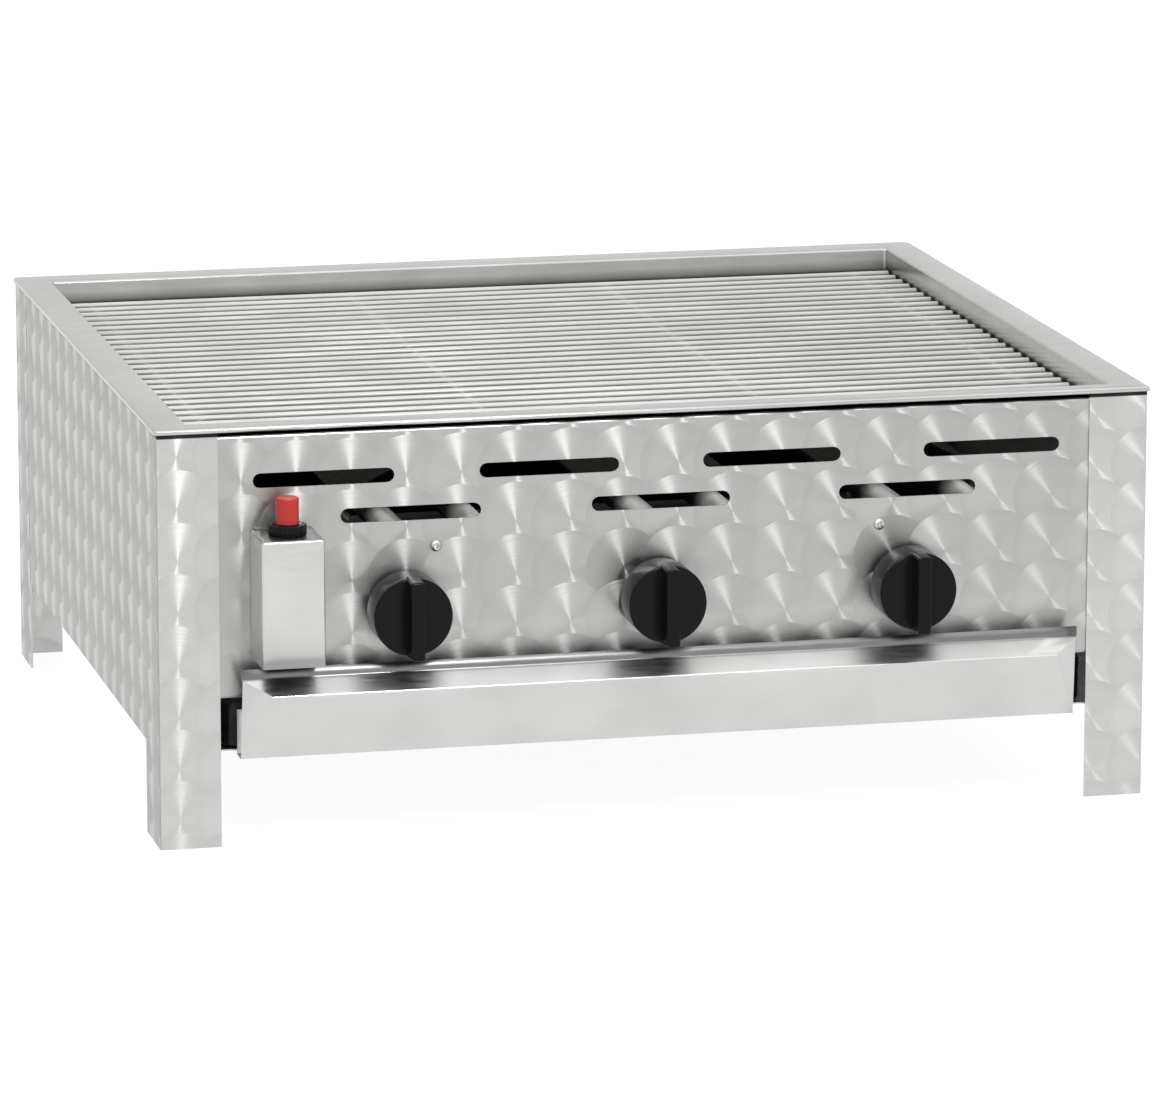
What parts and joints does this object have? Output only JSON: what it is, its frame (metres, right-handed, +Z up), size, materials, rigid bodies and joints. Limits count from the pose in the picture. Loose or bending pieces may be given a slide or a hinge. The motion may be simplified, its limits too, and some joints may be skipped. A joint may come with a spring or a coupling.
{
  "type": "table-top gas charbroiler grill",
  "caption": "Table-top gas charbroiler: folded steel housing on sheet legs, bar grate in a raised rim, hairpin tube burners, push-and-turn knobs, push-button igniter, pull-out drip pan.",
  "frame": {"origin": "under the middle of the overall box, on the plane the legs stand on", "axes": "+X to the right seen from the front, +Y from the control panel to the rear, +Z up"},
  "size_m": [0.6626, 0.676, 0.275],
  "materials": {
    "engine_turned_steel": "engine-turned stainless sheet, overlapping swirls",
    "rim_steel": "bright stainless sheet",
    "satin_steel": "satin stainless sheet",
    "grate_steel": "bright round bar",
    "burner_steel": "heat-tinted stainless tube",
    "black_enamel": "gloss black vitreous enamel",
    "black_phenolic": "moulded black phenolic",
    "red_plastic": "moulded red",
    "brass": "machined",
    "ceramic": "unglazed ceramic insulator",
    "silicone_lead": "black silicone insulation"
  },
  "bodies": {
    "root": {"side_panel_left": "engine_turned_steel", "side_panel_right": "engine_turned_steel", "rear_leg_left": "engine_turned_steel", "rear_leg_right": "engine_turned_steel", "front_panel": "engine_turned_steel", "rear_panel": "engine_turned_steel", "top_frame": "rim_steel", "burner_support_front": "satin_steel", "burner_support_rear": "satin_steel", "gas_rail": "satin_steel", "gas_pipe": "brass", "gas_inlet_nipple": "brass", "rail_bracket_left": "satin_steel", "rail_bracket_right": "satin_steel", "panel_screw_left": "satin_steel", "panel_screw_right": "satin_steel", "igniter_box": "satin_steel", "igniter_body": "black_phenolic", "igniter_nut": "black_phenolic", "ignition_lead": "silicone_lead", "igniter_electrode": "ceramic", "pan_runner_left": "satin_steel", "pan_runner_right": "satin_steel", "burner_left": "burner_steel", "flame_cover_left": "black_enamel", "gas_tap_left": "brass", "feed_pipe_left": "brass", "injector_left": "brass", "thermocouple_left": "brass", "burner_centre": "burner_steel", "flame_cover_centre": "black_enamel", "gas_tap_centre": "brass", "feed_pipe_centre": "brass", "injector_centre": "brass", "thermocouple_centre": "brass", "burner_right": "burner_steel", "flame_cover_right": "black_enamel", "gas_tap_right": "brass", "feed_pipe_right": "brass", "injector_right": "brass", "thermocouple_right": "brass"},
    "tap_plug_left": {"tap_plug_left": "brass"},
    "knob_left": {"knob_left": "black_phenolic", "tap_spindle_left": "brass"},
    "tap_plug_centre": {"tap_plug_centre": "brass"},
    "knob_centre": {"knob_centre": "black_phenolic", "tap_spindle_centre": "brass"},
    "tap_plug_right": {"tap_plug_right": "brass"},
    "knob_right": {"knob_right": "black_phenolic", "tap_spindle_right": "brass"},
    "igniter_button": {"igniter_button": "red_plastic"},
    "cooking_grate": {"cooking_grate": "grate_steel"},
    "drip_pan": {"drip_pan": "black_enamel", "drip_pan_front": "satin_steel", "pan_screw_left": "satin_steel", "pan_screw_right": "satin_steel"}
  },
  "joints": [
    {"name": "knob_turn_left", "type": "hinge", "parent": "root", "child": "tap_plug_left", "pos_m": [-0.1698, -0.29, 0.1525], "axis": [0, -1, 0], "range_deg": [0, 200]},
    {"name": "knob_push_left", "type": "slide", "parent": "tap_plug_left", "child": "knob_left", "axis": [0, 1, 0], "range_m": [0, 0.004], "stiffness_N_per_m": 1500, "springref_m": -0.002},
    {"name": "knob_turn_centre", "type": "hinge", "parent": "root", "child": "tap_plug_centre", "pos_m": [-0.0021, -0.29, 0.1525], "axis": [0, -1, 0], "range_deg": [0, 200]},
    {"name": "knob_push_centre", "type": "slide", "parent": "tap_plug_centre", "child": "knob_centre", "axis": [0, 1, 0], "range_m": [0, 0.004], "stiffness_N_per_m": 1500, "springref_m": -0.002},
    {"name": "knob_turn_right", "type": "hinge", "parent": "root", "child": "tap_plug_right", "pos_m": [0.1656, -0.29, 0.1525], "axis": [0, -1, 0], "range_deg": [0, 200]},
    {"name": "knob_push_right", "type": "slide", "parent": "tap_plug_right", "child": "knob_right", "axis": [0, 1, 0], "range_m": [0, 0.004], "stiffness_N_per_m": 1500, "springref_m": -0.002},
    {"name": "igniter_press", "type": "slide", "parent": "root", "child": "igniter_button", "axis": [0, 0, -1], "range_m": [0, 0.005], "stiffness_N_per_m": 1500, "springref_m": -0.002},
    {"name": "grate_lift", "type": "slide", "parent": "root", "child": "cooking_grate", "axis": [0, 0, 1], "range_m": [0, 0.1]},
    {"name": "pan_slide", "type": "slide", "parent": "root", "child": "drip_pan", "axis": [0, -1, 0], "range_m": [0, 0.4]}
  ]
}
